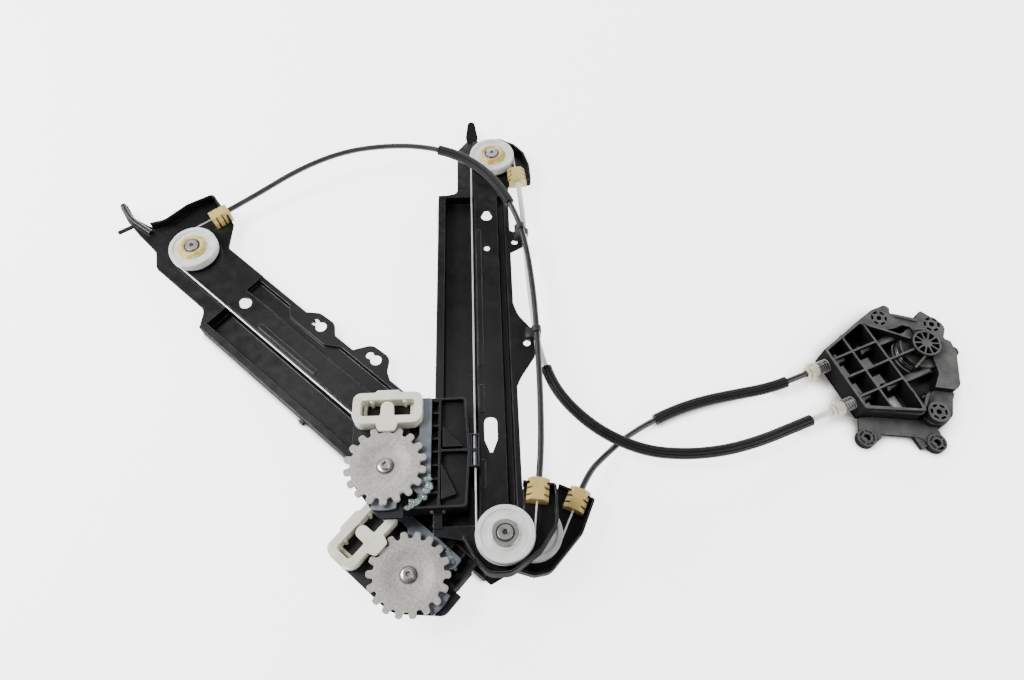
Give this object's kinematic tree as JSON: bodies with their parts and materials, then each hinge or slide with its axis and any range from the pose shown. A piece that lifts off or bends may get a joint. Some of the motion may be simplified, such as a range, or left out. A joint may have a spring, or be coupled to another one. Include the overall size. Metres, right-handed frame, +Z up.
{
  "type": "window regulator",
  "caption": "Dual-rail cable window regulator: pressed rails, glass carriers on pulleys, sheathed cables and a ribbed drum housing.",
  "frame": {"origin": "foot of the drum housing's left fixing boss, on the plane the part lies on", "axes": "+X along the longest side, from the front rail's top end towards the drum housing; +Y towards the rear rail's upper end; +Z up from the plane the part lies on"},
  "size_m": [0.8335, 0.5311, 0.061],
  "materials": {
    "rail_black": "black electrocoat, satin",
    "cable_steel": "stranded steel cable, greased",
    "carrier_black": "moulded plastic, satin",
    "shoe_white": "moulded plastic",
    "zinc_plate": "zinc plated",
    "disc_grey": "moulded plastic, matte",
    "bright_steel": "plain steel, machined",
    "clip_cream": "moulded plastic, slightly translucent",
    "pulley_white": "moulded plastic, smooth",
    "stop_ochre": "moulded plastic",
    "housing_grey": "glass filled moulded plastic",
    "drum_beige": "moulded plastic",
    "spring_steel": "spring wire",
    "cap_cream": "moulded plastic",
    "conduit_black": "extruded jacket, satin",
    "conduit_white": "extruded jacket, translucent",
    "sleeve_black": "grooved rubber",
    "conduit_clip_black": "moulded plastic"
  },
  "bodies": {
    "frame": {"front_rail": "rail_black", "front_rail_wire": "cable_steel", "front_lower_washer": "bright_steel", "front_lower_pin": "bright_steel", "front_lower_stop": "stop_ochre", "front_upper_washer": "bright_steel", "front_upper_pin": "bright_steel", "front_upper_stop": "stop_ochre", "rear_rail": "rail_black", "rear_rail_wire": "cable_steel", "rear_lower_washer": "bright_steel", "rear_lower_pin": "bright_steel", "rear_lower_stop": "stop_ochre", "rear_upper_washer": "bright_steel", "rear_upper_pin": "bright_steel", "rear_upper_stop": "stop_ochre", "drum_housing": "housing_grey", "drum_retainer": "bright_steel", "housing_lead_wires": "cable_steel", "upper_tension_spring": "spring_steel", "lower_tension_spring": "spring_steel", "upper_conduit_cap": "cap_cream", "lower_conduit_cap": "cap_cream", "upper_conduit": "conduit_black", "white_conduit": "conduit_white", "lower_conduit": "conduit_black", "upper_sleeve": "sleeve_black", "white_sleeve": "sleeve_black", "lower_sleeve": "sleeve_black", "upper_conduit_clip": "conduit_clip_black", "lower_conduit_clip": "conduit_clip_black"},
    "front_carriage": {"front_carrier": "carrier_black", "front_guide_shoe": "shoe_white", "front_insert_plate": "zinc_plate", "front_disc_screw": "bright_steel", "front_latch_clip": "clip_cream", "front_cable_nipples": "zinc_plate"},
    "rear_carriage": {"rear_carrier": "carrier_black", "rear_guide_shoe": "shoe_white", "rear_insert_plate": "zinc_plate", "rear_disc_screw": "bright_steel", "rear_latch_clip": "clip_cream", "rear_cable_nipples": "zinc_plate"},
    "front_disc": {"front_toothed_disc": "disc_grey"},
    "front_lower_pulley_body": {"front_lower_pulley": "pulley_white"},
    "front_upper_pulley_body": {"front_upper_pulley": "pulley_white"},
    "rear_disc": {"rear_toothed_disc": "disc_grey"},
    "rear_lower_pulley_body": {"rear_lower_pulley": "pulley_white"},
    "rear_upper_pulley_body": {"rear_upper_pulley": "pulley_white"},
    "drum": {"cable_drum": "drum_beige", "drum_cable": "cable_steel"}
  },
  "joints": [
    {"name": "rear_lift", "type": "slide", "parent": "frame", "child": "rear_carriage", "axis": [-0.04, 0.996, -0.0795], "range_m": [0, 0.24]},
    {"name": "front_lift", "type": "slide", "parent": "frame", "child": "front_carriage", "axis": [-0.7649, 0.6441, 0], "range_m": [0, 0.24]},
    {"name": "front_disc_turn", "type": "hinge", "parent": "front_carriage", "child": "front_disc", "pos_m": [-0.40226, -0.12459, 0.03], "axis": [0, 0, 1], "continuous": true},
    {"name": "front_lower_pulley_turn", "type": "hinge", "parent": "frame", "child": "front_lower_pulley_body", "pos_m": [-0.3017, -0.089, 0.02], "axis": [0, 0, 1], "range_deg": [-603.2, 0]},
    {"name": "front_upper_pulley_turn", "type": "hinge", "parent": "frame", "child": "front_upper_pulley_body", "pos_m": [-0.64056, 0.19635, 0.02], "axis": [0, 0, 1], "range_deg": [-603.2, 0]},
    {"name": "rear_disc_turn", "type": "hinge", "parent": "rear_carriage", "child": "rear_disc", "pos_m": [-0.42347, -0.04289, 0.05536], "axis": [-0.0032, 0.0794, 0.9968], "continuous": true},
    {"name": "rear_lower_pulley_turn", "type": "hinge", "parent": "frame", "child": "rear_lower_pulley_body", "pos_m": [-0.3252, -0.0976, 0.05], "axis": [-0.0032, 0.0794, 0.9968], "range_deg": [-603.2, 0]},
    {"name": "rear_upper_pulley_turn", "type": "hinge", "parent": "frame", "child": "rear_upper_pulley_body", "pos_m": [-0.34196, 0.31974, 0.01669], "axis": [-0.0032, 0.0794, 0.9968], "range_deg": [-603.2, 0]},
    {"name": "drum_turn", "type": "hinge", "parent": "frame", "child": "drum", "pos_m": [0.06701, 0.08631, 0.01], "axis": [0, 0, 1], "range_deg": [0, 671]}
  ],
  "couplings": [
    {"joint": "front_lift", "follows": "rear_lift", "ratio": 1},
    {"joint": "front_lower_pulley_turn", "follows": "rear_lift", "rad_per_m": -43.86},
    {"joint": "front_upper_pulley_turn", "follows": "rear_lift", "rad_per_m": -43.86},
    {"joint": "rear_lower_pulley_turn", "follows": "rear_lift", "rad_per_m": -43.86},
    {"joint": "rear_upper_pulley_turn", "follows": "rear_lift", "rad_per_m": -43.86},
    {"joint": "drum_turn", "follows": "rear_lift", "rad_per_m": 48.781}
  ]
}
